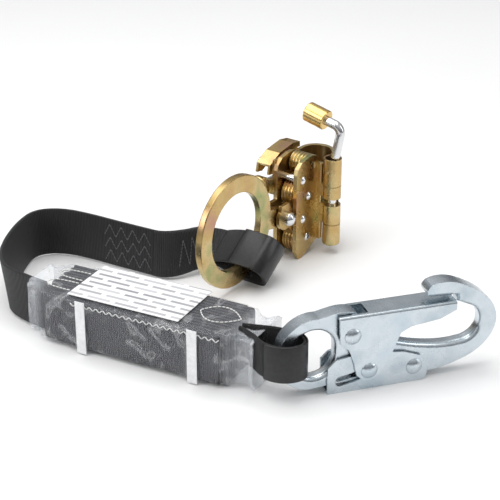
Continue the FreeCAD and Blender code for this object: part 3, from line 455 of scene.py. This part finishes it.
def threads(name, runs, radius, mat):
    """Stitches: a short thick thread for each pair of points."""
    verts = []
    faces = []
    sides = THREAD_SIDES
    for a, b in runs:
        along = (b - a).normalized()
        first = along.orthogonal().normalized()
        second = along.cross(first)
        base = len(verts)
        for place, size in ((a, 0.45), (a.lerp(b, 0.15), 1.0), (a.lerp(b, 0.85), 1.0), (b, 0.45)):
            for k in range(sides):
                turn = 2 * math.pi * k / sides
                verts.append(place + (first * math.cos(turn) + second * math.sin(turn)) * radius * size)
        for level in range(3):
            for k in range(sides):
                p = base + level * sides + k
                q = base + level * sides + (k + 1) % sides
                faces.append((p, q, q + sides, p + sides))
        faces.append(tuple(base + k for k in reversed(range(sides))))
        faces.append(tuple(base + 3 * sides + k for k in range(sides)))
    obj = make_mesh(name, verts, faces, mat)
    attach(obj, "lanyard")
    return obj


def on_band(frames, along, across, lift):
    """A point on a band's face: along in millimetres from its start, across from its middle."""
    travelled = 0.0
    for a, b in zip(frames, frames[1:]):
        run = (b[0] - a[0]).length
        if travelled + run >= along:
            share = (along - travelled) / run
            place = a[0].lerp(b[0], share)
            return place + a[1] * across + a[2] * lift
        travelled += run
    return frames[-1][0] + frames[-1][1] * across + frames[-1][2] * lift


def zigzag(frames, start, count, pitch, low, high, lift):
    """Ends of the stitches of a zigzag row on a band's face."""
    corners = []
    for k in range(count + 1):
        corners.append(on_band(frames, start + k * pitch, high if k % 2 else low, lift))
    runs = []
    for a, b in zip(corners, corners[1:]):
        pieces = max(1, round((b - a).length / STITCH_LENGTH))
        for k in range(pieces):
            first = a.lerp(b, (k + STITCH_GAP) / pieces)
            last = a.lerp(b, (k + 1 - STITCH_GAP) / pieces)
            runs.append((first, last))
    return runs


# ---- strap ----
def strap_width(t, head):
    share = clamp_share((t - STRAP_LEAN_START) / STRAP_LEAN_RUN)
    lean = STRAP_LEAN * math.sin(math.pi * share) ** 2
    return UP + head.cross(UP) * lean


strap_line = smooth_line([(x, y, WEB_MID_Z) for x, y in STRAP_ROUTE])
strap_frames = band_frames(strap_line, strap_width)
strap = band("strap_webbing", strap_frames, WEB_WIDTH, WEB_THICK, WEBBING)
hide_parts("strap_web")
strap_runs = []
for low, high in STRAP_STITCH_ROWS:
    for lift in (WEB_THICK / 2, -WEB_THICK / 2):
        strap_runs += zigzag(strap_frames, 3.0, 8, 4.6, low, high, lift)
strap_stitch = threads("strap_stitching", strap_runs, THREAD_RADIUS, GREY_THREAD)

# ---- loop through the ring ----
def ring_place(r, y):
    return RING_CENTRE + RING_OUT * r + Vector((0, y, 0))


def ring_width(t, head):
    return RING_LIMB


ring_line = smooth_line([ring_place(r, y) for r, y in RING_LOOP_ROUTE])
ring_frames = band_frames(ring_line, ring_width)
ring_loop = band("ring_loop_webbing", ring_frames, LOOP_WIDTH, LOOP_THICK, WEBBING)
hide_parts("ring_loop_web")


def outside(frames, centre, shift, first, last):
    """The part of a band's line between two shares of its length, moved away from a point."""
    count = len(frames) - 1
    moved = []
    for index in range(round(first * count), round(last * count) + 1):
        place, wide, out = frames[index]
        away = out if (place - centre).dot(out) > 0 else -out
        moved.append(place + away * shift)
    return moved


sleeve_shift = (LOOP_THICK + SLEEVE_THICK) / 2
ring_sleeve_line = outside(ring_frames, ring_place(30.1, -2.0), sleeve_shift, 0.20, 0.80)
ring_sleeve_frames = band_frames(ring_sleeve_line, ring_width)
ring_sleeve = band("ring_loop_cover", ring_sleeve_frames, LOOP_WIDTH + 0.6, SLEEVE_THICK, SLEEVE)
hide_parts("ring_loop_sleeve")

# ---- splice: the two layers together, turning to stand on edge ----
splice_start = ring_place(30.1, SPLICE_START_Y)
splice_end = Vector((STRAP_ROUTE[0][0], STRAP_ROUTE[0][1], WEB_MID_Z))
strap_head = (Vector((*STRAP_ROUTE[1], 0)) - Vector((*STRAP_ROUTE[0], 0))).normalized()
splice_line = smooth_line([
    splice_start, splice_start + Vector((0, 9.0, 0)), splice_end - strap_head * 10.0, splice_end,
])


def splice_width(t, head):
    share = ease(t)
    return RING_LIMB * (1 - share) + UP * share


def splice_wide(t):
    return LOOP_WIDTH + (WEB_WIDTH - LOOP_WIDTH) * ease(t)


splice_frames = band_frames(splice_line, splice_width)
splice = band("strap_splice_webbing", splice_frames, splice_wide, SPLICE_THICK, WEBBING)
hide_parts("strap_splice")
splice_runs = []
for lift in (SPLICE_THICK / 2, -SPLICE_THICK / 2):
    splice_runs += zigzag(splice_frames, 4.0, 8, 3.6, -SPLICE_STITCH_HALF, SPLICE_STITCH_HALF, lift)
threads("splice_stitching", splice_runs, THREAD_RADIUS, GREY_THREAD)

# ---- loop through the hook's eye ----
def upright(t, head):
    return UP


hook_line = smooth_line([pack_point(x, y, HOOK_LOOP_MID_Z) for x, y in HOOK_LOOP_ROUTE])
hook_frames = band_frames(hook_line, upright)
hook_loop = band("hook_loop_webbing", hook_frames, HOOK_LOOP_WIDTH, LOOP_THICK, WEBBING)
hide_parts("hook_loop_web")
hook_sleeve_line = outside(hook_frames, pack_point(96.0, -11.0, HOOK_LOOP_MID_Z), sleeve_shift, 0.26, 0.72)
hook_sleeve_frames = band_frames(hook_sleeve_line, upright)
hook_sleeve = band("hook_loop_cover", hook_sleeve_frames, HOOK_LOOP_WIDTH + 0.4, SLEEVE_THICK, SLEEVE)
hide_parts("hook_loop_sleeve")

# ---- shock pack: webbing folded to and fro, with an outer layer front and back ----
fold_points = []
for layer in range(FOLD_LAYERS):
    y = (layer - (FOLD_LAYERS - 1) / 2) * FOLD_PITCH
    ends = (-FOLD_HALF, FOLD_HALF) if layer % 2 == 0 else (FOLD_HALF, -FOLD_HALF)
    short = 1.5 * math.sin(layer * 2.3)
    for share in (0.0, 0.02, 0.25, 0.5, 0.75, 0.98, 1.0):
        x = (ends[0] + (ends[1] - ends[0]) * share) * (1 - 0.012 * abs(short))
        fold_points.append(pack_point(x, y, PACK_MID_Z))
fold_line = smooth_line(fold_points, 1.2)
fold_frames = band_frames(fold_line, upright)
fold = band("pack_tear_webbing", fold_frames, FOLD_WIDTH, FOLD_THICK, PACK_WEB)
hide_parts("pack_folded_web")

for label, start, end, y in OUTER_LAYERS:
    line = smooth_line([
        pack_point(start + (end - start) * k / 6, y + 0.25 * math.sin(k * 1.7), PACK_MID_Z) for k in range(7)
    ])
    layer = band("pack_outer_" + label, band_frames(line, upright), OUTER_WIDTH, OUTER_THICK, PACK_WEB)
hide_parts("pack_outer_web")


def pack_wrap():
    """Open tube of clear film round the pack, rippled along it and fluted at its loose ends."""
    around = WRAP_AROUND
    stations = WRAP_STATIONS
    verts = []
    painted_highlights = []
    for s in range(stations + 1):
        x = WRAP_SECTIONS[0][0] + (WRAP_SECTIONS[-1][0] - WRAP_SECTIONS[0][0]) * s / stations
        for low, high in zip(WRAP_SECTIONS, WRAP_SECTIONS[1:]):
            if low[0] <= x <= high[0] + 1e-6:
                share = ease((x - low[0]) / (high[0] - low[0]))
                half_w = low[1] + (high[1] - low[1]) * share
                half_h = low[2] + (high[2] - low[2]) * share
                break
        tail = clamp_share((abs(x) - TAIL_START) / TAIL_RUN)
        for k in range(around):
            angle = 2 * math.pi * k / around
            c = math.cos(angle)
            d = math.sin(angle)
            y = math.copysign(abs(c) ** WRAP_SQUARENESS, c) * half_w
            z = math.copysign(abs(d) ** WRAP_SQUARENESS, d) * half_h
            ripple = 0.22 * math.sin(x * 0.21 + angle * 3) * math.sin(x * 0.083 + 1.0 + angle)
            flute = 0.9 * tail * math.sin(angle * 9 + x * 0.12)
            y *= 1 + (ripple - 0.3 + flute) / WRAP_MEAN_HALF
            z_here = PACK_MID_Z + z * (1 + (min(flute, 0.0) + ripple - 0.25) / WRAP_MEAN_HALF)
            verts.append(pack_point(x, y, z_here))
            # painted highlight share: full on the loose ends, and more at the rounded corners of the section
            painted_highlights.append(tail + 0.5 * max(0.0, abs(c * d) * 2 - 0.75))
    faces = []
    for s in range(stations):
        for k in range(around):
            a = s * around + k
            b = s * around + (k + 1) % around
            faces.append((a, b, b + around, a + around))
    obj = make_mesh("pack_clear_wrap", verts, faces, FILM)
    painted_highlight = obj.data.attributes.new("painted_highlight", "FLOAT", "POINT")
    for index, value in enumerate(painted_highlights):
        painted_highlight.data[index].value = value
    thick = obj.modifiers.new("thickness", "SOLIDIFY")
    thick.thickness = WRAP_THICK * MM
    thick.offset = -1
    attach(obj, "lanyard")
    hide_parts("pack_wrap")
    return obj


wrap = pack_wrap()

# ---- stitching on the pack ----
edge_runs = []
for k in range(EDGE_STITCHES):
    x = EDGE_STITCH_START + k * EDGE_STITCH_PITCH
    step_up = EDGE_STITCH_RISE * (k % 2)
    first = pack_point(x, PACK_FRONT_Y, EDGE_STITCH_LOW + EDGE_STITCH_RISE - step_up)
    last = pack_point(x + EDGE_STITCH_LENGTH, PACK_FRONT_Y, EDGE_STITCH_LOW + step_up)
    edge_runs.append((first, last))
threads("pack_edge_stitching", edge_runs, EDGE_THREAD_RADIUS, PALE_THREAD)


def outline_runs(points):
    """Ends of the stitches along a smooth line through these points."""
    line = smooth_line(points, 2.6)
    return [(a.lerp(b, STITCH_GAP), a.lerp(b, 1 - STITCH_GAP)) for a, b in zip(line, line[1:])]


top_runs = []
for y in (-9.0, 5.0):
    loop_points = [
        (-46.0, y - 5), (-58.0, y - 5), (-64.0, y - 3), (-65.0, y),
        (-64.0, y + 3), (-58.0, y + 5), (-46.0, y + 5),
    ]
    top_runs += outline_runs([pack_point(x, v, PACK_TOP_Z) for x, v in loop_points])
for side in (1, -1):
    leaf = [(36.0, 0.0), (41.0, 8.0 * side), (50.0, 10.0 * side), (58.0, 6.0 * side), (63.0, 0.0)]
    top_runs += outline_runs([pack_point(x, v, PACK_TOP_Z) for x, v in leaf])
threads("pack_top_stitching", top_runs, TOP_THREAD_RADIUS, PALE_THREAD)

# ---------------------------------------------------------------- floor, light and camera
floor_z = -ROPE_MID_Z * MM
bpy.ops.mesh.primitive_plane_add(size=FLOOR_SIZE_METRES, location=(0, 0, floor_z))
floor = bpy.context.object
floor.name = "studio_floor"
floor_mat = plain("studio floor", (0.88, 0.88, 0.88), (0.90, 0.90, 0.90), 3.0, 0.9, 0.0)
paint(floor, floor_mat)

bpy.context.scene.view_settings.view_transform = "Standard"
world = bpy.data.worlds.new("studio")
bpy.context.scene.world = world
world.use_nodes = True
sky = world.node_tree.nodes
sky_links = world.node_tree.links
sky_coords = sky.new("ShaderNodeTexCoord")
sky_split = sky.new("ShaderNodeSeparateXYZ")
sky_links.new(sky_coords.outputs["Generated"], sky_split.inputs["Vector"])
sky_colours = ramp(sky, ((0.0, (0.10, 0.105, 0.115)), (0.28, (0.42, 0.43, 0.45)), (0.75, (1.0, 1.0, 1.0))))
sky_links.new(sky_split.outputs["Z"], sky_colours.inputs["Fac"])
sky_links.new(sky_colours.outputs["Color"], sky["Background"].inputs["Color"])
sky["Background"].inputs["Strength"].default_value = SKY_STRENGTH


def area_light(name, place, size, power):
    """Rectangular lamp aimed at the middle of the object."""
    data = bpy.data.lights.new(name, "AREA")
    data.shape = "RECTANGLE"
    data.size = size[0]
    data.size_y = size[1]
    data.energy = power
    lamp = bpy.data.objects.new(name, data)
    lamp.location = place
    lamp.rotation_euler = (Vector(VIEW_TARGET_METRES) - Vector(place)).to_track_quat("-Z", "Y").to_euler()
    bpy.context.scene.collection.objects.link(lamp)


area_light("top_softbox", (-0.15, 0.15, 1.1), (1.2, 1.0), 9.5)
area_light("left_softbox", (-1.0, 0.55, 0.6), (0.7, 0.5), 4.0)
area_light("right_strip", (0.35, -0.95, 0.55), (0.25, 0.9), 2.4)

camera_data = bpy.data.cameras.new("photo_camera")
camera_data.lens = CAMERA_LENS
camera_data.sensor_width = CAMERA_SENSOR
camera = bpy.data.objects.new("photo_camera", camera_data)
camera.location = CAMERA_PLACE_METRES
camera.rotation_euler = (Vector(VIEW_TARGET_METRES) - camera.location).to_track_quat("-Z", "Y").to_euler()
bpy.context.scene.collection.objects.link(camera)
bpy.context.scene.camera = camera
